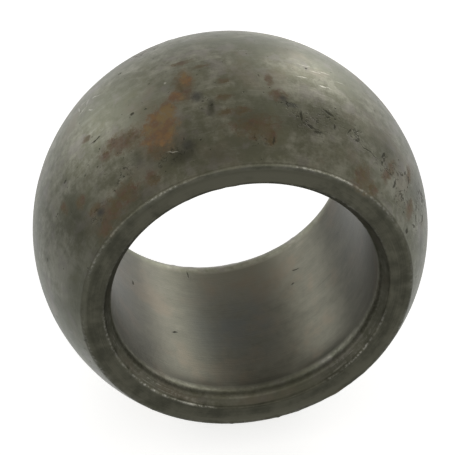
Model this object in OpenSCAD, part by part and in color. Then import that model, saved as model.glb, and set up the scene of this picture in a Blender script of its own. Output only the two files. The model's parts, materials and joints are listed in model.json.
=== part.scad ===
// Three-point hitch link ball: a solid steel ball with two flat ends and a
// plain through bore for a hitch pin. The ball turns in the socket of a lower
// link arm. It is one piece, turned on a lathe.
//
// Millimetres. The origin is the centre of the ball, +Y runs along the bore
// and +Z is up. The two ends are alike.

/* [Ball] */
// Diameter of the spherical surface
ball_d = 56; // [55:0.5:64]
// Width from one flat end to the other
ball_w = 32; // [26:0.5:34]
// Width of the small bevel at the rim, measured on the flat end
rim_bevel = 0.25; // [0.1:0.05:0.5]

/* [Bore] */
// Diameter of the bore that takes the pin
bore_d = 37.4; // [34:0.1:38]
// Diameter of the chamfer where it meets the flat end
mouth_d = 40; // [38.5:0.1:41]
// Depth of the chamfer, along the bore
mouth_depth = 1.6; // [0.8:0.1:2.4]

/* [Hidden] */

$fn = 180;

// How far the section's cut runs past the ball's surface
past = 5;

ball_r = ball_d / 2;
bore_r = bore_d / 2;
mouth_r = mouth_d / 2;
half_w = ball_w / 2;

// Half the length of the bore's straight wall
half_wall = half_w - mouth_depth;

// Radius at which the ball would meet its flat end in a sharp edge
sharp_r = sqrt(ball_r * ball_r - half_w * half_w);

// Radius of the flat end, inside the bevel
flat_r = sharp_r - rim_bevel;

// Fall of the bevel for each millimetre outward: halfway between the flat end
// and the ball's own surface at the rim
bevel_fall = tan(acos(half_w / ball_r) / 2);

// Where the line of the bevel ends, outside the ball
edge_r = ball_r + past;
edge_w = half_w - (edge_r - flat_r) * bevel_fall;

// Half of the section through the ball: a round disc, cut by the bore's wall,
// the chamfers, the flat ends and the bevels. X is the radius and Y runs along
// the bore
module turned_section() {
    intersection() {
        circle(r = ball_r);
        polygon([
            [bore_r, -half_wall],
            [mouth_r, -half_w],
            [flat_r, -half_w],
            [edge_r, -edge_w],
            [edge_r, edge_w],
            [flat_r, half_w],
            [mouth_r, half_w],
            [bore_r, half_wall],
        ]);
    }
}

// The ball, turned about the bore's axis
module hitch_ball() {
    color("dimgray")
        rotate([90, 0, 0])
            rotate_extrude() turned_section();
}

hitch_ball();
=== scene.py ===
"""Looks of the three-point hitch link ball: one turned steel ball with nicked edges, turning lines and rust
stains."""

import json
import math
from types import SimpleNamespace

import bpy
import numpy as np
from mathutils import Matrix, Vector


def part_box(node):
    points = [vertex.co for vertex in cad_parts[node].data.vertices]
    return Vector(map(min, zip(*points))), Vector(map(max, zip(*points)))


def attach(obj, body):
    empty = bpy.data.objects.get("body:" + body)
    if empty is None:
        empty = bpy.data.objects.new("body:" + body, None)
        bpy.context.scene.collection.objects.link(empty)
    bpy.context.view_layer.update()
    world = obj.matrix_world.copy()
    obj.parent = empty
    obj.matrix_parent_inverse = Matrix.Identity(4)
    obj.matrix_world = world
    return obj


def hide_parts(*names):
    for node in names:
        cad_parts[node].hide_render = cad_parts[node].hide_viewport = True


MM = 0.001

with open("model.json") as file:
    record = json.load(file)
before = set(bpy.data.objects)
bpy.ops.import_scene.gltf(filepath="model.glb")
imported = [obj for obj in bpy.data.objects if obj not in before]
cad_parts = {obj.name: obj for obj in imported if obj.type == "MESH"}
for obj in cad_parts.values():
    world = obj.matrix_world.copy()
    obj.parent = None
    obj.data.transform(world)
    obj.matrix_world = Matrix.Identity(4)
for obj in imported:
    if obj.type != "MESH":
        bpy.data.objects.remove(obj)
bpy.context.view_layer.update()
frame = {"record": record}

# ---------------------------------------------------------------- sizes, from the frame
mounts = {m["name"]: m for m in frame["record"]["mounts"]}
BALL_R = mounts["ball_seat"]["dims"]["r_mm"] * MM
BORE_R = mounts["pin_bore"]["dims"]["r_mm"] * MM
HALF_WALL = mounts["pin_bore"]["dims"]["length_mm"] * MM / 2
HALF_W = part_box("hitch_ball")[1].y

# The chamfer's radius where it meets the flat end
MOUTH_R = 20.0 * MM

# Radius at which the ball would meet its flat end in a sharp edge
SHARP_R = math.sqrt(BALL_R**2 - HALF_W**2)

# ---------------------------------------------------------------- outline of the turned section
STEPS_ROUND = 600

# How many steps each stretch of half the outline has
BORE_STEPS = 14
BORE_EDGE_STEPS = 6
CHAMFER_STEPS = 4
MOUTH_EDGE_STEPS = 6
END_STEPS = 5
RIM_STEPS = 8
BALL_STEPS = 36

# How far from its sharp corner each edge starts to round over
BORE_EDGE = 0.80 * MM
MOUTH_EDGE = 0.30 * MM
RIM_EDGE = 0.40 * MM


def straight(a, b, steps):
    """Points from a to b, without b."""
    t = np.arange(steps)[:, None] / steps
    return (1 - t) * np.array(a) + t * np.array(b)


def rounded(a, corner, b, steps):
    """Points on the curve that leaves a and reaches b, bending round a corner, without b."""
    t = np.arange(steps)[:, None] / steps
    return (1 - t) ** 2 * np.array(a) + 2 * t * (1 - t) * np.array(corner) + t**2 * np.array(b)


def towards(a, b, distance):
    """The point at a distance from a on the way to b."""
    a, b = np.array(a), np.array(b)
    return a + (b - a) * distance / np.linalg.norm(b - a)


def ball_point(latitude):
    """The point of the section that lies on the ball, at an angle towards the front from its equator."""
    return BALL_R * np.array([math.cos(latitude), -math.sin(latitude)])


def front_outline():
    """Half of the section, as named stretches of (radius, y) points: from the middle of the bore,
    out over the front end, to the ball's equator."""
    middle = (BORE_R, 0.0)
    bore_edge = (BORE_R, -HALF_WALL)
    mouth_edge = (MOUTH_R, -HALF_W)
    rim = (SHARP_R, -HALF_W)
    ball_starts = math.asin(HALF_W / BALL_R) - RIM_EDGE / BALL_R
    bore_stops = towards(bore_edge, middle, BORE_EDGE)
    chamfer_starts = towards(bore_edge, mouth_edge, BORE_EDGE)
    chamfer_stops = towards(mouth_edge, bore_edge, MOUTH_EDGE)
    end_starts = towards(mouth_edge, rim, MOUTH_EDGE)
    end_stops = towards(rim, mouth_edge, RIM_EDGE)
    latitudes = ball_starts * (1 - np.arange(BALL_STEPS + 1) / BALL_STEPS)
    return [
        ("bore", straight(middle, bore_stops, BORE_STEPS)),
        ("bore_edge", rounded(bore_stops, bore_edge, chamfer_starts, BORE_EDGE_STEPS)),
        ("chamfer", straight(chamfer_starts, chamfer_stops, CHAMFER_STEPS)),
        ("mouth_edge", rounded(chamfer_stops, mouth_edge, end_starts, MOUTH_EDGE_STEPS)),
        ("end", straight(end_starts, end_stops, END_STEPS)),
        ("rim", rounded(end_stops, rim, ball_point(ball_starts), RIM_STEPS)),
        ("ball", np.array([ball_point(a) for a in latitudes])),
    ]


class Outline:
    """The whole section: its points, the stretch each is on, how far along it lies, and its outward
    normal."""

    def __init__(self):
        half = front_outline()
        points = np.concatenate([p for _, p in half])
        names = [name for name, p in half for _ in p]
        # The equator and the middle of the bore lie on both halves, so the mirrored half leaves them out
        self.points = np.concatenate([points, points[-2:0:-1] * (1, -1)])
        self.stretch = np.array(names + names[-2:0:-1])
        ahead = np.roll(self.points, -1, 0) - self.points
        steps = np.linalg.norm(ahead, axis=1)
        self.along = np.concatenate([[0.0], np.cumsum(steps)[:-1]])
        # The same distance counted from the front mouth's edge, so that its jump hides in that edge
        start = self.along[self.stretch == "mouth_edge"][MOUTH_EDGE_STEPS // 2]
        self.lap = (self.along - start) % steps.sum()
        ahead /= steps[:, None]
        tangents = ahead + np.roll(ahead, 1, 0)
        tangents /= np.linalg.norm(tangents, axis=1)[:, None]
        self.normals = np.stack([-tangents[:, 1], tangents[:, 0]], 1)

    def on(self, *names):
        """1 on these stretches, 0 elsewhere."""
        return np.isin(self.stretch, names).astype(float)

    def near(self, name, front, width):
        """How close each point is to the middle of an edge: 1 there, falling off over width."""
        here = (self.stretch == name) & ((self.points[:, 1] < 0) == front)
        middle = self.along[here].mean()
        return np.exp(-(((self.along - middle) / width) ** 2))


outline = Outline()
angles = np.arange(STEPS_ROUND) * 2 * math.pi / STEPS_ROUND

# ---------------------------------------------------------------- dents, nicks and waviness
rng = np.random.default_rng(42)

# How wide a nick is, how deep the shallowest one is, and how far the edges are worn back between nicks
NICK_WIDTHS = (0.2 * MM, 0.9 * MM)
SHALLOWEST = 0.02 * MM
WORN_BACK = 0.010 * MM

# How far from an edge's middle its nicks and its rubbed line, partly a painted glint, fade out
NICK_REACH = 0.28 * MM
SHINE_REACH = 0.17 * MM

# The low waves on the ball: their height, and the pitch in mm and the phase of each set of rings
WAVE_HEIGHT = 0.003 * MM
RINGS = ((2.3, 0.4), (3.7, 2.1), (5.9, 4.4))

# Where each edge is rubbed bright, partly a painted glint: angle round the bore and half width in degrees,
# and strength
RIM_RUBBED_AND_GLINTS = [
    (63, 15, 0.8),
    (40, 12, 0.4),
    (118, 9, 0.6),
    (152, 9, 0.6),
    (-165, 16, 0.7),
    (-20, 40, 0.4),
    (-95, 40, 0.6),
]
MOUTH_RUBBED_AND_GLINTS = [
    (-127, 20, 1.0),
    (-38, 16, 0.7),
    (162, 20, 0.3),
    (50, 20, 0.4),
    (-168, 16, 0.6),
]


def turned_by(angle):
    """How far each step round is from an angle, from -pi to pi."""
    return (angles - angle + math.pi) % (2 * math.pi) - math.pi


def wobble(waves, low, high):
    """A smooth random line round the ball: a sum of waves, between low and high in count, about 1 in size."""
    line = np.zeros(STEPS_ROUND)
    for _ in range(waves):
        count = rng.integers(low, high)
        line += np.sin(count * angles + rng.uniform(0, 2 * math.pi))
    return line / math.sqrt(waves / 2)


def nicks(count, radius, deepest):
    """How deep an edge is knocked in at each step round: many small dents at random places."""
    line = np.zeros(STEPS_ROUND)
    for _ in range(count):
        place = rng.uniform(0, 2 * math.pi)
        width = rng.uniform(*NICK_WIDTHS) / radius
        depth = SHALLOWEST + (deepest - SHALLOWEST) * rng.random() ** 3
        line = np.maximum(line, depth * np.exp(-((turned_by(place) / width) ** 2)))
    return line


def arcs(places):
    """How strongly each step round is marked. Places are angles with half widths, both in degrees, and
    strengths."""
    line = np.zeros(STEPS_ROUND)
    for angle, half_width, strength in places:
        away = turned_by(math.radians(angle)) / math.radians(half_width)
        line = np.maximum(line, strength * np.exp(-(away**4)))
    return line


class Edge:
    """A worn edge: how deep it is knocked in at each step round, and its rubbed line and painted glint."""

    def __init__(self, name, front, radius, count, deepest, rubbed_and_painted_light):
        worn_back = WORN_BACK * (1 + 0.5 * wobble(14, 20, 150))
        self.depth = nicks(count, radius, deepest) + np.maximum(worn_back, 0)
        self.near = outline.near(name, front, NICK_REACH)
        rubbed_and_glint = np.clip(arcs(rubbed_and_painted_light) + 0.15 * wobble(8, 3, 24), 0, 1)
        self.rubbed_and_glint = rubbed_and_glint[:, None] * outline.near(name, front, SHINE_REACH)


# Each edge's name, whether it is in front, its radius, its nicks, the deepest of them, and its rubbed arcs
# and painted glints
edges = [
    Edge("mouth_edge", True, MOUTH_R, 70, 0.15 * MM, MOUTH_RUBBED_AND_GLINTS),
    Edge("rim", True, SHARP_R, 50, 0.13 * MM, RIM_RUBBED_AND_GLINTS),
    Edge("mouth_edge", False, MOUTH_R, 70, 0.15 * MM, RIM_RUBBED_AND_GLINTS),
    Edge("rim", False, SHARP_R, 50, 0.15 * MM, MOUTH_RUBBED_AND_GLINTS),
]


def knocked_in():
    """How far each point of the surface is pushed in, along its normal, with one row for each step round."""
    depth = np.zeros((STEPS_ROUND, len(outline.points)))
    for edge in edges:
        depth += edge.depth[:, None] * edge.near
    return depth


def lathe_waves():
    """How far each point of the ball stands out: low rings, as the lathe left them, and slow waves round."""
    y = outline.points[:, 1] / MM
    rings = sum(np.sin(y * 2 * math.pi / pitch + phase) for pitch, phase in RINGS)
    lumps = wobble(6, 3, 9)
    return WAVE_HEIGHT * outline.on("ball") * (rings + lumps[:, None])


# ---------------------------------------------------------------- stains
# Each stain on the ball: its angle round the bore in degrees, from +X towards +Z, its place along the bore,
# and half its size round the ball and along it, in mm. A tilt in degrees turns a long one.
RUST = [
    (114, -8, 2.3, 3.0, 10),
    (110, -5.5, 1.0, 1.5, 0),
    (107, -4, 1.2, 1.0, 0),
    (103, -1, 0.8, 1.5, 0),
]
BROWN = [
    (103, 3, 1.3, 0.5, 0),
    (98, 1, 1.1, 0.4, 0),
    (93, -3, 0.9, 0.5, 0),
    (94, -8.5, 1.0, 0.5, 0),
    (146, -9.5, 0.9, 0.8, 0),
    (153, -7.5, 0.6, 1.0, 0),
    (136, -2, 0.6, 0.5, 0),
    (143, -12, 1.3, 0.7, 0),
    (116, -10.5, 1.4, 1.2, 0),
    (125, -7, 2.7, 1.5, 15),
    (132, -7, 0.8, 1.0, 0),
    (104, -2.5, 1.1, 2.6, 0),
    (131, -13.5, 1.8, 1.3, 0),
    (138, -14, 2.4, 1.4, 0),
    (144, -15, 1.6, 0.9, 0),
    (121, -14, 1.0, 1.0, 0),
    (86, -11, 2.8, 1.6, 0),
    (82, -12, 0.8, 2.0, 0),
    (90, -8.5, 1.4, 0.6, 0),
    (80, -3, 0.5, 1.2, 0),
    (78, -6, 1.1, 1.0, 0),
    (94, -6, 1.0, 0.6, 0),
    (49, -14.5, 1.5, 1.6, 20),
    (44, -15, 1.2, 0.8, 0),
    (24, -12.5, 0.9, 1.5, 0),
    (28, -8, 0.6, 1.6, 0),
    (39, -11.5, 0.7, 2.2, 20),
]
BLACK = [
    (110, -13, 1.9, 0.9, 0),
    (107, -12, 0.9, 0.9, 0),
    (101, -5, 0.8, 1.0, 0),
    (98, -7.5, 0.5, 1.4, 10),
    (77, -6.5, 0.6, 0.6, 0),
    (75, -7.5, 1.2, 0.4, 0),
    (142, -13, 0.7, 0.5, 20),
]
# Where dark scale has begun to form in fine broken lines
SCALE = [
    (70, -10, 3.0, 1.6, 10),
    (63, -8, 1.8, 1.2, 10),
    (54, -9, 1.6, 1.4, 0),
    (40, -10.5, 1.9, 2.6, 15),
    (30, -11, 2.2, 3.6, 0),
    (17, -9, 2.0, 4.5, 0),
    (76, -7.5, 1.6, 0.8, 0),
    (99, -7, 1.2, 1.6, 0),
    (113, -12.5, 2.4, 1.2, 0),
    (130, -11, 2.0, 1.4, 0),
    (143, -13, 1.8, 1.4, 0),
    (86, -13, 1.6, 0.9, 0),
]

# Broad areas where the steel is darker, or lighter: partly duller and cleaner steel, partly painted shade
# over the highlight and painted light along the silhouettes
DULL_AND_PAINTED_SHADE = [
    (111, -12, 4.5, 2.6, 0),
    (99, -14, 4.0, 1.6, 0),
    (129, -15, 2.6, 1.0, 0),
    (139, -14.5, 3.4, 1.2, 0),
    (151, -10, 1.8, 2.2, 0),
    (123, -10.5, 0.9, 1.3, 0),
    (40, -8, 2.4, 2.0, 0),
    (64, -8, 2.2, 1.6, 0),
    (72, -10, 1.8, 1.3, 0),
    (112, -9.5, 2.0, 1.2, 0),
    (88, -10, 1.6, 1.2, 0),
    (75, 5.5, 3.4, 2.6, 0),
    (22, -8, 2.0, 2.6, 0),
    (9, -12, 1.0, 1.0, 0),
    (153, -12.5, 2.2, 1.4, 0),
]
CLEAN_AND_PAINTED_LIGHT = [
    (117, -4.5, 3.6, 3.8, 0),
    (104, -3.5, 1.8, 2.0, 0),
    (80, -4.5, 1.8, 1.8, 0),
    (40, -12.5, 1.8, 1.4, 0),
    (171, -13, 4.4, 3.0, 0),
    (141, -12, 2.0, 1.4, 0),
    (170, -11.5, 3.0, 2.4, 0),
    (121, -13, 1.2, 1.2, 0),
]

# The side that the placed stains leave bare gets random ones of the same kinds, this many of each
MORE_RUST, MORE_BROWN, MORE_BLACK, MORE_SCALE, MORE_DULL, MORE_CLEAN = 7, 24, 20, 14, 12, 12

# Where the ends and the bore are lighter or darker, grimy, or colder in tone: angle round the bore, half
# width, strength
# Lighter at the top of the flat ends
END_LIGHTER_ON_TOP = [(90, 34, 1.0)]
# Painted highlight: the outer ring of the ends lighter round the lower right, where the rim glints
RIM_PAINTED_HIGHLIGHT = [(-70, 42, 1.6)]
# Painted light: the bore's lower wall lighter towards the back
BORE_PAINTED_LIGHT = [(-78, 22, 1.2)]
# Painted shade: the bore darker low on its left, over a softbox's reflection
BORE_PAINTED_SHADE = [(-107, 11, 0.45)]
# Darker on the inner ring of the ends, by the mouth, round the lower side
END_DARKER_BY_MOUTH = [(-95, 75, 0.5)]
# Darker on the outer ring of the ends, by the rim, round the upper half
END_DARKER_BY_RIM = [(105, 112, 0.9)]
# Darker on the mouth's edge and chamfer, low on the right
MOUTH_DARKER = [(-84, 24, 0.8), (-50, 10, 0.8)]
GRIMY_BORE = [(-112, 14, 0.6), (-82, 14, 0.75), (-50, 16, 0.8), (60, 60, 0.4)]
COLD_BORE = [(-89, 20, 1.0), (80, 50, 0.6)]
# Painted light on the bore's front edge, which lies in its own shadow
BORE_EDGE_PAINTED_LIGHT = [(-150, 45, 0.28), (-25, 35, 0.28), (90, 60, 0.15)]

# Single fine marks on the ball, dark ones and light ones, in the same terms as the stains
DARK_MARKS = [
    (133, -3.5, 0.95, 0.13, 4),
    (120, -3.5, 0.35, 0.28, 30),
    (72, -9, 0.28, 1.0, 0),
    (69, -10.5, 0.9, 0.20, 22),
    (67, -11, 0.75, 0.24, -8),
    (63, -7.5, 0.9, 0.30, 22),
    (61, -9.5, 0.2, 0.45, 0),
    (56, -9, 0.15, 0.8, 30),
    (53, -10, 0.45, 0.30, 0),
    (48, -10.5, 1.9, 0.10, 7),
    (42, -9.5, 0.28, 0.8, 25),
    (35, -12, 0.2, 0.9, 10),
    (28, -9, 0.3, 0.6, 0),
    (14, -10, 0.35, 0.9, 0),
    (21, -15, 0.45, 0.3, 0),
    (81, -13, 0.2, 0.8, 0),
]
LIGHT_MARKS = [
    (109, -0.5, 0.22, 0.22, 0),
    (134, 6.5, 0.11, 0.8, 15),
    (136, 7.5, 0.8, 0.11, 12),
    (138, 6.5, 0.11, 0.9, -10),
    (136, 5, 0.9, 0.11, -14),
    (131, 6, 1.2, 0.09, 35),
    (133, 3.5, 0.7, 0.10, 40),
    (68, 1.5, 1.1, 0.08, 0),
    (65, 0.5, 1.0, 0.08, 3),
    (62, 1, 1.2, 0.09, -4),
    (57, 0, 0.9, 0.08, 2),
    (70, -1.5, 0.9, 0.09, 0),
    (63, -2.5, 1.1, 0.10, -3),
    (112, -12, 0.9, 0.12, 20),
    (250, -9, 3.0, 0.10, 35),
    (230, 4, 2.5, 0.12, -50),
    (-60, -6, 3.0, 0.10, 15),
    (-30, 7, 2.0, 0.12, -35),
    (60, 10, 3.0, 0.10, 20),
    (20, 8, 2.2, 0.12, -15),
]
# Marks on the wall of the bore
BORE_MARKS = [
    (-117, -2, 0.5, 0.16, 20),
    (-136, 5.5, 0.2, 0.5, 0),
    (-104, 12.5, 0.12, 0.9, 0),
    (-54, 7.5, 0.6, 0.14, -20),
    (-57, 5, 0.4, 0.2, 10),
    (30, -3, 0.5, 0.2, 0),
    (90, 6, 0.2, 0.8, 10),
    (150, 2, 0.7, 0.15, 0),
]

# The random stains keep off the side that the placed ones are on, which faces up, a little to the left, and
# forward. These weigh the ways that a place faces, with y counted in mm, and the last is the most allowed.
FACES_UP = 0.8
FACES_LEFT = 0.15
FORWARD_OVER = 20
PLACED_SIDE = 0.1

# How far past a mark's own ends its coordinates are kept on the mesh, and how far from them the next mark's
# start, both in mm
MARK_MARGIN = 1.6
MARK_GAP = 0.5

# The marks are dealt out in turn to this many layers, so that two close ones needn't share one
MARK_LAYERS = 2


def arc(y):
    """The distance in mm along the ball, from its equator, of a place y mm along the bore."""
    return np.arcsin(np.clip(y / (BALL_R / MM), -1, 1)) * BALL_R / MM


def scattered(count, sizes):
    """Random stains, longer round than along or the other way, on the back and the underside of the ball."""
    found = []
    while len(found) < count:
        angle, y = rng.uniform(0, 360), rng.uniform(-15.5, 15.5)
        right, up = math.cos(math.radians(angle)), math.sin(math.radians(angle))
        if FACES_UP * up - FACES_LEFT * right - y / FORWARD_OVER > PLACED_SIDE:
            continue
        size = rng.uniform(*sizes)
        found.append((angle, y, size, size * rng.uniform(0.4, 1.6), rng.uniform(-40, 40)))
    return found


def along_bore(y, width):
    """1 on the bore's wall at a place along it, falling off over width, both in mm."""
    return outline.on("bore") * np.exp(-(((outline.points[:, 1] / MM - y) / width) ** 2))


def across_end(radius, width):
    """1 on the flat ends at a radius in mm, falling off over width."""
    return outline.on("end") * np.exp(-(((outline.points[:, 0] / MM - radius) / width) ** 2))


def zone(places, stretch):
    """The product of arcs round the bore and of where along the outline they count."""
    return arcs(places)[:, None] * stretch


def measured_from(angle, y, tilt):
    """How far each vertex lies from a place on the ball, in mm, along a line tilted there and across it."""
    u = turned_by(math.radians(angle))[:, None] * (outline.points[:, 0] / MM)[None, :]
    v = (arc(outline.points[:, 1] / MM) - arc(y))[None, :]
    c, s = math.cos(math.radians(tilt)), math.sin(math.radians(tilt))
    return c * u + s * v, c * v - s * u


def stained(stains):
    """How near each vertex of the ball is to a stain's middle: 1 there, 0.5 on its outline, 0 well clear."""
    field = np.zeros((STEPS_ROUND, len(outline.points)))
    for angle, y, half_round, half_along, tilt in stains:
        u, v = measured_from(angle, y, tilt)
        distance = np.hypot(u / half_round, v / half_along)
        field = np.maximum(field, np.clip(1 - distance / 2, 0, 1))
    return field * outline.on("ball", "rim")


def mark_coordinates(marks):
    """Two vectors at each vertex. The first is how far in mm it lies from the middle of the nearest mark,
    along the mark and across it, with 1 near the mark and 0 elsewhere. The second is how many of the mark's
    half sizes fit in a mm, along it and across it."""
    shape = (STEPS_ROUND, len(outline.points))
    nearest = np.full(shape, np.inf)
    second = np.full(shape, np.inf)
    where = np.zeros((*shape, 3))
    sizes = np.ones((*shape, 3))
    for angle, y, half_round, half_along, tilt in marks:
        u, v = measured_from(angle, y, tilt)
        clear = np.hypot(u, v) - max(half_round, half_along)
        here = clear < nearest
        second = np.where(here, nearest, np.minimum(second, clear))
        nearest = np.where(here, clear, nearest)
        where[here] = np.stack([u, v, np.zeros(shape)], -1)[here]
        sizes[here] = (1 / half_round, 1 / half_along, 0)
    where[..., 2] = (nearest < MARK_MARGIN) & (second - nearest > MARK_GAP)
    return where, sizes


# ---------------------------------------------------------------- the ball's mesh
def ball_mesh():
    """The mesh of the whole ball, with one ring of faces for each step of the outline."""
    push = lathe_waves() - knocked_in()
    radius = outline.points[:, 0] + push * outline.normals[:, 0]
    y = outline.points[:, 1] + push * outline.normals[:, 1]
    # Nothing stands proud of the flat ends
    y = np.clip(y, -HALF_W, HALF_W)
    x, z = radius * np.cos(angles)[:, None], radius * np.sin(angles)[:, None]
    places = np.stack([x, y, z], -1).reshape(-1, 3)
    count = len(outline.points)
    i, j = np.meshgrid(np.arange(STEPS_ROUND), np.arange(count), indexing="ij")
    i2, j2 = (i + 1) % STEPS_ROUND, (j + 1) % count
    corners = [i * count + j, i * count + j2, i2 * count + j2, i2 * count + j]
    faces = np.stack(corners, -1).reshape(-1, 4)
    mesh = bpy.data.meshes.new("hitch_ball_steel")
    mesh.from_pydata(places.tolist(), [], faces.tolist())
    mesh.shade_smooth()
    return mesh


def add_attribute(mesh, name, values):
    """Gives the mesh a number at each vertex, for the material to read."""
    full = np.broadcast_to(values, (STEPS_ROUND, len(outline.points))).astype(np.float32)
    mesh.attributes.new(name, "FLOAT", "POINT").data.foreach_set("value", full.ravel())


def add_marks(mesh, name, marks):
    """Gives the mesh what the material reads to draw these marks."""
    for layer in range(MARK_LAYERS):
        for what, values in zip(("at", "size"), mark_coordinates(marks[layer::MARK_LAYERS])):
            attribute = mesh.attributes.new(f"{name}_{what}_{layer}", "FLOAT_VECTOR", "POINT")
            attribute.data.foreach_set("vector", values.astype(np.float32).ravel())


def add_stretches(mesh):
    """Says how far along the outline each vertex is, and whether it is on the bore, a chamfer, an end or the
    ball."""
    add_attribute(mesh, "along", outline.lap / MM)
    add_attribute(mesh, "bore", outline.on("bore"))
    add_attribute(mesh, "chamfer", outline.on("chamfer"))
    add_attribute(mesh, "end", outline.on("end", "mouth_edge") + 0.6 * outline.on("rim"))
    add_attribute(mesh, "ball", outline.on("ball", "rim"))


def add_rubbed_and_painted_light(mesh):
    """Says where edges are rubbed bright, partly as painted glints, and where the bore's front edge has
    painted light. Says too where the tool marks on the chamfers shine, partly as a painted glint.
    """
    front_bore_edge = outline.on("bore_edge") * (outline.points[:, 1] < 0)
    # Painted light on the bore's front edge, where it lies in its own shadow, joins the rubbed edges
    rubbed_and_painted_light = sum(edge.rubbed_and_glint for edge in edges) + zone(BORE_EDGE_PAINTED_LIGHT, front_bore_edge)
    add_attribute(mesh, "worn_and_painted_light", np.clip(rubbed_and_painted_light, 0, 1))
    add_attribute(mesh, "chamfer_rubbed_and_glint", arcs(MOUTH_RUBBED_AND_GLINTS)[:, None])


def add_stains(mesh):
    """Says how near the stains are, and where the steel is darker or lighter: duller and cleaner steel,
    painted shade, painted light, a painted highlight, and plain darker and lighter places on the ends.
    """
    add_attribute(mesh, "rust", stained(RUST + scattered(MORE_RUST, (0.6, 2.4))))
    add_attribute(mesh, "brown", stained(BROWN + scattered(MORE_BROWN, (0.7, 2.2))))
    add_attribute(mesh, "black", stained(BLACK + scattered(MORE_BLACK, (0.4, 1.3))))
    add_attribute(mesh, "scale", stained(SCALE + scattered(MORE_SCALE, (1.5, 3.5))))
    dull = stained(DULL_AND_PAINTED_SHADE + scattered(MORE_DULL, (2.0, 5.0)))
    dull += zone(END_DARKER_BY_MOUTH, across_end(20.4, 0.9)) + zone(END_DARKER_BY_RIM, across_end(22.4, 0.45))
    dull += zone(BORE_PAINTED_SHADE, outline.on("bore"))
    add_attribute(mesh, "dull", dull)
    clean = stained(CLEAN_AND_PAINTED_LIGHT + scattered(MORE_CLEAN, (2.0, 5.0)))
    clean += zone(END_LIGHTER_ON_TOP, outline.on("end")) + zone(BORE_PAINTED_LIGHT, along_bore(12.0, 6.0))
    clean += zone(RIM_PAINTED_HIGHLIGHT, across_end(22.3, 0.6))
    add_attribute(mesh, "clean", clean)


def add_grime(mesh):
    """Says where the mouth edge is darker and the bore grimy, and where the bore is colder in tone."""
    grime = zone(MOUTH_DARKER, outline.on("mouth_edge") + 0.5 * outline.on("chamfer"))
    grime += zone(GRIMY_BORE, along_bore(-13.6, 1.8))
    add_attribute(mesh, "grime", grime)
    add_attribute(mesh, "cold", zone(COLD_BORE, along_bore(0.0, 8.0)))


mesh = ball_mesh()
add_stretches(mesh)
add_rubbed_and_painted_light(mesh)
add_stains(mesh)
add_grime(mesh)
add_marks(mesh, "dark", DARK_MARKS)
add_marks(mesh, "light", LIGHT_MARKS)
add_marks(mesh, "bore", BORE_MARKS)

ball = bpy.data.objects.new("hitch_ball_steel", mesh)
bpy.context.scene.collection.objects.link(ball)
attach(ball, "root")
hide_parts("hitch_ball")

# ---------------------------------------------------------------- material
# A mark is whole within the first of these, as a share of its half size, and gone beyond the second
MARK_WHOLE = 0.55
MARK_GONE = 1.15

# How high the surface's relief is
RELIEF = 0.03 * MM


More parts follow.
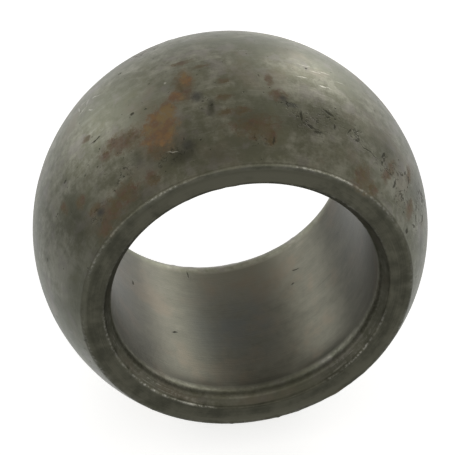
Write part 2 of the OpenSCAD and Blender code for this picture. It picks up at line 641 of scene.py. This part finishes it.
class Wiring:
    """Short calls that add nodes to one material, or to the world, and give back the socket to read."""

    def __init__(self, owner):
        self.tree = owner.node_tree

    def node(self, kind, inputs, **settings):
        """A node with these settings, and with a socket or a plain value on each named or numbered input."""
        node = self.tree.nodes.new(kind)
        for name, value in settings.items():
            setattr(node, name, value)
        for key, value in inputs.items():
            if isinstance(value, bpy.types.NodeSocket):
                self.tree.links.new(value, node.inputs[key])
            else:
                node.inputs[key].default_value = value
        return node

    def maths(self, operation, a, b=0.0, clamp=False):
        """The result of a Math node."""
        return self.node("ShaderNodeMath", {0: a, 1: b}, operation=operation, use_clamp=clamp).outputs[0]

    def chain(self, operation, values):
        """The result of one Math operation on several numbers or sockets, from the first to the last."""
        result = values[0]
        for value in values[1:]:
            result = self.maths(operation, result, value)
        return result

    def times(self, *values):
        """The product of several numbers or sockets."""
        return self.chain("MULTIPLY", values)

    def plus(self, *values):
        """The total of several numbers or sockets."""
        return self.chain("ADD", values)

    def most(self, *values):
        """The largest of several numbers or sockets."""
        return self.chain("MAXIMUM", values)

    def weighed(self, *pairs):
        """The total of several sockets, each times its weight."""
        return self.plus(*[self.times(value, weight) for value, weight in pairs])

    def attribute(self, name, output="Fac"):
        """What the mesh holds at each vertex by this name: a number, or a vector from the output Vector."""
        return self.node("ShaderNodeAttribute", {}, attribute_name=name).outputs[output]

    def noise(self, vector, scale, detail=2.0, roughness=0.5, output="Fac"):
        """Soft random noise, about 0.5 on average."""
        inputs = {"Vector": vector, "Scale": scale, "Detail": detail, "Roughness": roughness}
        return self.node("ShaderNodeTexNoise", inputs).outputs[output]

    def rise(self, value, low, high, start=0.0, end=1.0):
        """A smooth step: start where the value is at low or before it, end where it is at high or past it."""
        inputs = {"Value": value, "From Min": low, "From Max": high, "To Min": start, "To Max": end}
        return self.node("ShaderNodeMapRange", inputs, interpolation_type="SMOOTHSTEP").outputs["Result"]

    def blend(self, share, a, b):
        """Colour a, with this share of colour b laid over it."""
        inputs = {0: share, 6: colour(a), 7: colour(b)}
        return self.node("ShaderNodeMix", inputs, data_type="RGBA").outputs[2]

    def number(self, share, a, b):
        """Number a, with this share of number b."""
        return self.node("ShaderNodeMix", {0: share, 2: a, 3: b}, data_type="FLOAT").outputs[0]

    def vector(self, operation, *inputs, output="Vector"):
        """The result of a Vector Math node on one vector or two."""
        return self.node("ShaderNodeVectorMath", dict(enumerate(inputs)), operation=operation).outputs[output]

    def stretched(self, vector, x, y, z):
        """The vector with each of its parts made larger or smaller."""
        return self.vector("MULTIPLY", vector, (x, y, z))

    def shifted(self, vector, x, y, z):
        """The vector moved, to draw on another part of a noise."""
        return self.vector("ADD", vector, (x, y, z))

    def bump(self, height, distance):
        """A normal that follows a height from 0 to 1, where 1 is this distance in metres."""
        return self.node("ShaderNodeBump", {"Height": height, "Distance": distance}).outputs["Normal"]

    def veins(self, vector, scale, width):
        """1 along thin wandering lines, 0 between them."""
        ridge = self.maths("ABSOLUTE", self.maths("SUBTRACT", self.noise(vector, scale, 3, 0.6), 0.5))
        return self.rise(ridge, 0.0, width, 1.0, 0.0)

    def marks(self, name, bend):
        """1 inside any mark of this name and 0 outside, with the marks bent by a vector in mm."""
        found = 0.0
        for layer in range(MARK_LAYERS):
            at = self.attribute(f"{name}_at_{layer}", "Vector")
            size = self.attribute(f"{name}_size_{layer}", "Vector")
            near = self.node("ShaderNodeSeparateXYZ", {0: at}).outputs["Z"]
            local = self.vector("MULTIPLY", self.vector("ADD", at, bend), size)
            distance = self.vector("LENGTH", local, output="Value")
            inside = self.times(self.rise(distance, MARK_WHOLE, MARK_GONE, 1.0, 0.0), near)
            found = self.most(found, inside)
        return found


def colour(value):
    """A colour of three parts with its fourth part, or a socket as it is."""
    return (*value, 1.0) if isinstance(value, tuple) else value


# Linear colours of the steel and of what has settled on it
STEEL_LIGHT = (0.302, 0.297, 0.232)
STEEL_DARK = (0.156, 0.155, 0.107)
GREEN_GREY = (0.150, 0.154, 0.107)
WARM_GREY = (0.232, 0.206, 0.153)
HALO_BROWN = (0.185, 0.146, 0.092)
END_DARK = (0.094, 0.092, 0.065)
END_LIGHT = (0.168, 0.162, 0.116)
BORE_DARK = (0.086, 0.084, 0.062)
BORE_LIGHT = (0.145, 0.138, 0.104)
BORE_WARM = (0.150, 0.125, 0.089)
BORE_COLD = (0.091, 0.096, 0.087)
# Bright steel, also laid on as painted glints on the edges and as painted light on the bore's front edge
BRIGHT_STEEL_AND_PAINTED_LIGHT = (0.62, 0.60, 0.52)
RUST_ORANGE = (0.212, 0.117, 0.041)
RUST_RED = (0.166, 0.090, 0.043)
RUST_OCHRE = (0.220, 0.150, 0.054)
BROWN_FILM = (0.130, 0.099, 0.050)
RED_FILM = (0.144, 0.096, 0.062)
BLACK_OXIDE = (0.082, 0.080, 0.055)
BLUE_OXIDE = (0.074, 0.073, 0.067)
# Dull steel, also laid on as painted shade
DULL_STEEL_AND_PAINTED_SHADE = (0.080, 0.081, 0.055)
DIRT = (0.050, 0.049, 0.034)
OLIVE_GREY = (0.182, 0.180, 0.118)
MAUVE_GREY = (0.232, 0.214, 0.190)


def steel_fields(w):
    """What the looks of the steel are drawn from: places in mm, the mesh's stretches, and several noises."""
    f = SimpleNamespace()
    metres = w.node("ShaderNodeTexCoord", {}).outputs["Object"]
    f.place = w.stretched(metres, 1 / MM, 1 / MM, 1 / MM)

    # The same place measured round the ball and along its outline
    across = w.vector("NORMALIZE", w.stretched(metres, 1, 0, 1))
    along = w.node("ShaderNodeCombineXYZ", {1: w.attribute("along")}).outputs[0]
    turned = w.vector("ADD", across, along)

    # How far the single marks are bent out of shape, up to 0.4 mm either way
    bend = w.noise(f.place, 1.1, 3, output="Color")
    f.bend = w.shifted(w.stretched(bend, 0.8, 0.8, 0), -0.4, -0.4, 0)

    f.ball, f.bore, f.chamfer, f.end = (w.attribute(name) for name in ("ball", "bore", "chamfer", "end"))

    # Noise at several sizes, even all ways, and noise drawn out round the ball as the tool left it
    f.cloud = w.noise(w.shifted(f.place, 40, 0, 9), 0.085, 3)
    f.patch = w.noise(f.place, 0.30, 5, 0.6)
    f.mottle = w.noise(w.shifted(f.place, 9, 30, 70), 0.75, 4, 0.65)
    f.grain = w.noise(f.place, 1.7, 4, 0.6)
    f.broad = w.noise(w.stretched(turned, 3.0, 0.55, 3.0), 1.0, 3, 0.6)
    f.lines = w.noise(w.stretched(turned, 2.2, 4.5, 2.2), 1.0, 3, 0.6)
    f.fine_lines = w.noise(w.stretched(turned, 3.5, 11.0, 3.5), 1.0, 2, 0.6)
    return f


def bare_steel(w, f):
    """The colour of bare steel, light and dark in patches, in greys that drift from one tint to another, and
    lighter and darker where the mesh says so, partly as painted light and painted shade.
    """
    shade = w.weighed((f.patch, 0.7), (f.mottle, 0.8), (f.grain, 0.3), (f.lines, 0.12))
    f.clean, f.dull = w.attribute("clean"), w.attribute("dull")
    shade = w.plus(shade, w.times(f.broad, 0.25), w.times(f.clean, 0.30), w.times(f.dull, -0.15))
    steel = w.blend(w.rise(shade, 0.88, 1.38), STEEL_DARK, STEEL_LIGHT)
    steel = w.blend(w.rise(f.cloud, 0.48, 0.64, 0.0, 0.7), steel, GREEN_GREY)
    f.warm = w.noise(w.shifted(f.place, 7, 80, 3), 0.16, 4, 0.6)
    steel = w.blend(w.rise(f.warm, 0.52, 0.66, 0.0, 0.5), steel, WARM_GREY)
    tint = w.noise(w.shifted(f.place, 60, 3, 20), 0.30, 4, 0.65)
    steel = w.blend(w.rise(tint, 0.53, 0.66, 0.0, 0.5), steel, OLIVE_GREY)
    return w.blend(w.rise(tint, 0.47, 0.34, 0.0, 0.5), steel, MAUVE_GREY)


def with_streaks(w, f, steel):
    """Streaks that the lathe and handling left, light and dark."""
    fine = w.rise(f.fine_lines, 0.56, 0.70)
    f.light_streaks = w.times(fine, w.rise(f.broad, 0.42, 0.60), w.rise(f.mottle, 0.40, 0.60))
    dark_streaks = w.times(w.rise(f.lines, 0.36, 0.26), w.rise(f.mottle, 0.60, 0.45))
    steel = w.blend(w.times(f.light_streaks, 0.16), steel, BRIGHT_STEEL_AND_PAINTED_LIGHT)
    return w.blend(w.times(dark_streaks, 0.24), steel, BLACK_OXIDE)


def with_bore(w, f, steel):
    """The bore's own darker tone, lighter where the mesh says so, partly as painted light, and half of it on
    the chamfers.
    """
    shade = w.weighed((f.broad, 0.25), (f.patch, 0.7), (f.fine_lines, 0.3), (f.mottle, 0.3))
    shade = w.plus(shade, w.times(f.clean, 0.25))
    bore_steel = w.blend(w.rise(shade, 0.50, 1.05), BORE_DARK, BORE_LIGHT)
    bore_steel = w.blend(w.rise(f.warm, 0.50, 0.66, 0.0, 0.6), bore_steel, BORE_WARM)
    cold = w.times(w.attribute("cold"), w.rise(f.patch, 0.35, 0.60, 0.35, 0.85))
    bore_steel = w.blend(cold, bore_steel, BORE_COLD)
    return w.blend(w.most(f.bore, w.times(f.chamfer, 0.5)), steel, bore_steel)


def with_ends(w, f, steel):
    """The flat ends' own tone, lighter where the mesh says so, partly as painted light and a painted
    highlight, and dull steel and painted shade wherever the mesh says so.
    """
    shade = w.weighed((f.patch, 0.9), (f.mottle, 0.4), (f.fine_lines, 0.3), (f.clean, 0.25))
    end_steel = w.blend(w.rise(shade, 0.64, 1.01), END_DARK, END_LIGHT)
    steel = w.blend(f.end, steel, end_steel)
    return w.blend(w.times(f.dull, w.rise(f.patch, 0.35, 0.60, 0.30, 0.55)), steel, DULL_STEEL_AND_PAINTED_SHADE)


def cut_off(w, f, name, raggedness, low, high):
    """A field of stains from the mesh, roughened by noise and cut off at its outline."""
    return w.rise(w.plus(w.attribute(name), w.times(f.ragged, raggedness)), low, high)


def film_colour(w, f):
    """The colour of the thin brown film: brown and reddish by turns, with black in it."""
    reddish = w.rise(w.noise(w.shifted(f.place, 5, 5, 5), 0.8, 4), 0.45, 0.58)
    film = w.blend(reddish, BROWN_FILM, RED_FILM)
    blackish = w.rise(w.noise(w.shifted(f.place, 25, 5, 5), 0.9, 4, 0.6), 0.52, 0.64, 0.0, 0.4)
    return w.blend(blackish, film, BLACK_OXIDE)


def rust_colour(w, f):
    """The colour of the rust: red and orange by turns, with ochre over them in places."""
    rusty = w.blend(w.rise(w.noise(f.place, 0.6, 3), 0.42, 0.60), RUST_RED, RUST_ORANGE)
    ochre = w.rise(w.noise(w.shifted(f.place, 3, 5, 60), 0.45, 3), 0.46, 0.62)
    return w.blend(w.times(ochre, 0.8), rusty, RUST_OCHRE)


def with_stains(w, f, steel):
    """A brown halo, then the brown film, black oxide, and rust on top."""
    f.ragged = w.plus(w.times(f.patch, 0.7), w.times(w.noise(f.place, 0.9, 6, 0.78), 1.5), -1.10)
    near = w.plus(w.attribute("rust"), w.times(w.attribute("brown"), 0.6), w.times(f.ragged, 0.5))
    steel = w.blend(w.times(w.rise(near, 0.02, 0.75), f.ball, 0.55), steel, HALO_BROWN)
    f.brown = cut_off(w, f, "brown", 1.1, 0.26, 0.74)
    rust = cut_off(w, f, "rust", 0.9, 0.32, 0.72)
    f.black = cut_off(w, f, "black", 0.5, 0.20, 0.90)
    film = film_colour(w, f)
    film_share = w.times(w.rise(f.mottle, 0.38, 0.60, 0.55, 0.95), w.rise(f.grain, 0.32, 0.56, 0.75, 1.0))
    steel = w.blend(w.times(f.brown, film_share), steel, film)
    oxide = w.blend(w.rise(f.cloud, 0.40, 0.52), BLACK_OXIDE, BLUE_OXIDE)
    steel = w.blend(w.times(f.black, 0.80), steel, oxide)
    rusty = rust_colour(w, f)
    f.rust = w.times(rust, w.rise(f.grain, 0.30, 0.52, 0.6, 1.0))
    return w.blend(w.times(f.rust, 0.85), steel, rusty)


def with_dirt(w, f, steel):
    """Fine dark lines and specks of scale, flecks, single marks, grime in the bore, and a darker mouth edge.
    """
    scale = cut_off(w, f, "scale", 0.5, 0.30, 0.75)
    veins = w.veins(w.shifted(f.place, 0, 0, 4), 0.55, 0.035)
    crackle = w.times(scale, veins, w.rise(f.mottle, 0.42, 0.56))
    specks = w.times(scale, w.rise(w.noise(w.shifted(f.place, 1, 2, 33), 1.1, 3, 0.6), 0.58, 0.66))
    flecks = w.times(f.ball, w.rise(w.noise(w.shifted(f.place, 13, 2, 3), 1.3), 0.70, 0.76))
    dark_marks = w.times(w.marks("dark", f.bend), f.ball)
    bore_marks = w.times(w.marks("bore", f.bend), f.bore)
    dirt = w.most(crackle, specks, flecks, bore_marks, dark_marks)
    f.dirt = w.most(dirt, w.times(w.attribute("grime"), w.rise(f.mottle, 0.30, 0.55, 0.6, 1.0)))
    return w.blend(w.times(f.dirt, 0.64), steel, DIRT)


def with_bright_metal_and_painted_light(w, f, steel):
    """Bright metal where edges are rubbed, on the chamfers' tool marks, and in scratches; on the edges and
    the chamfers partly a painted glint, and on the bore's front edge painted light.
    """
    worn_and_painted_light = w.times(w.attribute("worn_and_painted_light"), w.rise(w.noise(f.place, 1.5, 4, 0.65), 0.42, 0.62))
    rubbed_and_glint = w.times(f.chamfer, w.attribute("chamfer_rubbed_and_glint"))
    tooled_and_glint = w.times(rubbed_and_glint, w.rise(f.fine_lines, 0.46, 0.62), w.rise(f.grain, 0.42, 0.60))
    f.scratches = w.times(w.marks("light", f.bend), f.ball)
    f.bright = w.most(w.times(worn_and_painted_light, 0.6), w.times(tooled_and_glint, 0.35), w.times(f.scratches, 0.44))
    return w.blend(f.bright, steel, BRIGHT_STEEL_AND_PAINTED_LIGHT)


def metal_share(w, f):
    """How far the surface is metal: wholly where it is bare, less under film and rust."""
    return w.maths("SUBTRACT", 1.0, w.weighed((f.rust, 0.85), (f.brown, 0.25)), clamp=True)


def roughness(w, f):
    """How rough the surface is: stains and dirt make it rougher, streaks and rubbing smoother."""
    rough = w.plus(0.36, w.times(f.patch, 0.14), w.times(f.lines, 0.08), w.times(f.brown, 0.10))
    rough = w.plus(rough, w.times(f.black, 0.08), w.times(f.bore, -0.06), w.times(f.light_streaks, -0.08))
    rough = w.number(f.rust, rough, 0.85)
    rough = w.number(f.dirt, rough, 0.7)
    return w.number(f.bright, rough, 0.30)


def relief(w, f):
    """How high the surface stands: rust is raised, and black oxide, dirt and scratches lie lower."""
    return w.weighed(
        (f.lines, 0.4),
        (f.fine_lines, 0.25),
        (f.grain, 0.35),
        (w.times(f.rust, f.grain), 1.5),
        (f.black, -0.5),
        (f.dirt, -1.0),
        (f.scratches, -0.5),
    )


def make_steel():
    """Turned bare steel, dulled and stained, with painted shade, painted light and painted glints in places:
    metal nearly everywhere, with rust on top in places.
    """
    material = bpy.data.materials.new("steel")
    material.use_nodes = True
    w = Wiring(material)
    shader = material.node_tree.nodes["Principled BSDF"]
    f = steel_fields(w)
    steel = bare_steel(w, f)
    for layer in (with_streaks, with_bore, with_ends, with_stains, with_dirt, with_bright_metal_and_painted_light):
        steel = layer(w, f, steel)
    w.tree.links.new(steel, shader.inputs["Base Color"])
    w.tree.links.new(metal_share(w, f), shader.inputs["Metallic"])
    w.tree.links.new(roughness(w, f), shader.inputs["Roughness"])
    w.tree.links.new(w.bump(relief(w, f), RELIEF), shader.inputs["Normal"])
    return material


mesh.materials.append(make_steel())

# ---------------------------------------------------------------- stage, light and camera
scene = bpy.context.scene
scene.view_settings.view_transform = "Standard"

FLOOR_HALF = 3.0
FLOOR_GLOW = 0.68

# The brightness of the studio below and above the horizon, and the soft glows in it: where each one is, the
# cosine at which it starts, and how much it adds
LOW_TONE = 0.37
HIGH_TONE = 0.43
WARM_LIGHT = (1.0, 0.968, 0.922)
COOL_LIGHT = (0.94, 0.958, 1.0)
NEUTRAL_LIGHT = (0.975, 0.975, 0.98)
GLOWS = [
    ((0.15, 0.85, -0.50), 0.45, 0.85),
    ((0.97, 0.20, -0.15), 0.78, 0.32),
    ((0.10, -0.96, 0.25), 0.50, 0.30),
    ((-0.47, 0.33, -0.82), 0.86, 0.32),
    ((0.03, 0.72, 0.69), 0.78, 0.11),
]

# The softboxes: azimuth and elevation in degrees, size in metres, power in watts, and colour
SOFTBOX_DISTANCE = 1.0
SOFTBOXES = {
    "softbox_right": (147, 16, 0.40, 1.76, NEUTRAL_LIGHT),
    "softbox_left": (-139, 15, 0.46, 1.5, COOL_LIGHT),
    "softbox_front_right": (32, 15, 0.36, 1.0, COOL_LIGHT),
    "softbox_front_left": (-34, 10, 0.36, 0.6, COOL_LIGHT),
}

# The photograph looks down on the front end, a little from the left, through a long lens
VIEW_AZIMUTH = -8.9
VIEW_ELEVATION = 38.4
VIEW_DISTANCE = 13 * BALL_R
SENSOR = 36.0
BALL_SHARE = 0.433  # the ball's radius as a share of the frame's width
ASIDE = 0.0132  # how far right of the frame's middle the ball's centre is, in ball radii
BELOW = 0.003  # and how far below it


def add_floor():
    """A pale floor that glows, as a light table does. The ball reflects the studio and not the floor."""
    z = -BALL_R
    material = bpy.data.materials.new("floor")
    material.use_nodes = True
    shader = material.node_tree.nodes["Principled BSDF"]
    shader.inputs["Base Color"].default_value = (0.80, 0.80, 0.79, 1)
    shader.inputs["Roughness"].default_value = 0.9
    shader.inputs["Emission Color"].default_value = (1, 1, 1, 1)
    shader.inputs["Emission Strength"].default_value = FLOOR_GLOW
    corners = [(x * FLOOR_HALF, y * FLOOR_HALF, z) for x, y in ((-1, -1), (1, -1), (1, 1), (-1, 1))]
    m = bpy.data.meshes.new("floor")
    m.from_pydata(corners, [], [(0, 1, 2, 3)])
    m.materials.append(material)
    floor = bpy.data.objects.new("floor", m)
    floor.visible_glossy = False
    scene.collection.objects.link(floor)


def make_world():
    """A studio a little dimmer and cooler below than above, with soft glows, and plain white to look at."""
    world = bpy.data.worlds.new("studio")
    world.use_nodes = True
    w = Wiring(world)
    toward = w.node("ShaderNodeTexCoord", {}).outputs["Generated"]
    height = w.node("ShaderNodeSeparateXYZ", {0: toward}).outputs["Z"]
    tone = w.rise(height, -0.35, 0.1, LOW_TONE, HIGH_TONE)
    glow = 0.0
    for middle, start, strength in GLOWS:
        cosine = w.vector("DOT_PRODUCT", toward, middle, output="Value")
        glow = w.plus(glow, w.rise(cosine, start, 0.98, 0.0, strength))
    seen = w.node("ShaderNodeLightPath", {}).outputs["Is Camera Ray"]
    room_colour = w.blend(w.rise(height, -0.4, 0.5), COOL_LIGHT, WARM_LIGHT)
    room_colour = w.blend(seen, room_colour, (1.0, 1.0, 1.0))
    room_inputs = {"Color": room_colour, "Strength": w.number(seen, tone, 1.0)}
    room = w.node("ShaderNodeBackground", room_inputs).outputs[0]
    glow_inputs = {"Color": colour(COOL_LIGHT), "Strength": w.number(seen, glow, 0.0)}
    glows = w.node("ShaderNodeBackground", glow_inputs).outputs[0]
    both = w.node("ShaderNodeAddShader", {0: room, 1: glows}).outputs[0]
    w.tree.links.new(both, world.node_tree.nodes["World Output"].inputs["Surface"])
    return world


def direction(azimuth, elevation):
    """The way out from the ball at two angles in degrees. Azimuth 0 is in front of it and 90 to its right."""
    a, e = math.radians(azimuth), math.radians(elevation)
    return Vector((math.sin(a) * math.cos(e), -math.cos(a) * math.cos(e), math.sin(e)))


def link_facing(thing, out):
    """Adds a light or a camera to the scene, turned to look back along the way out from the ball."""
    thing.rotation_mode = "QUATERNION"
    thing.rotation_quaternion = (-out).to_track_quat("-Z", "Y")
    scene.collection.objects.link(thing)


def add_softbox(name, azimuth, elevation, size, power, tint):
    """A square soft light that faces the ball."""
    out = direction(azimuth, elevation)
    light = bpy.data.lights.new(name, "AREA")
    light.shape = "SQUARE"
    light.size = size
    light.energy = power
    light.color = tint
    lamp = bpy.data.objects.new(name, light)
    lamp.location = out * SOFTBOX_DISTANCE
    link_facing(lamp, out)


def add_camera():
    """The camera, in the photograph's place."""
    out = direction(VIEW_AZIMUTH, VIEW_ELEVATION)
    right = direction(VIEW_AZIMUTH + 90, 0)
    up = out.cross(right)
    data = bpy.data.cameras.new("camera")
    data.sensor_width = SENSOR
    data.lens = SENSOR * BALL_SHARE * VIEW_DISTANCE / BALL_R
    data.clip_start = 0.01
    data.clip_end = 20
    camera = bpy.data.objects.new("camera", data)
    camera.location = out * VIEW_DISTANCE + (up * BELOW - right * ASIDE) * BALL_R
    link_facing(camera, out)
    scene.camera = camera


add_floor()
scene.world = make_world()
for name, settings in SOFTBOXES.items():
    add_softbox(name, *settings)
add_camera()
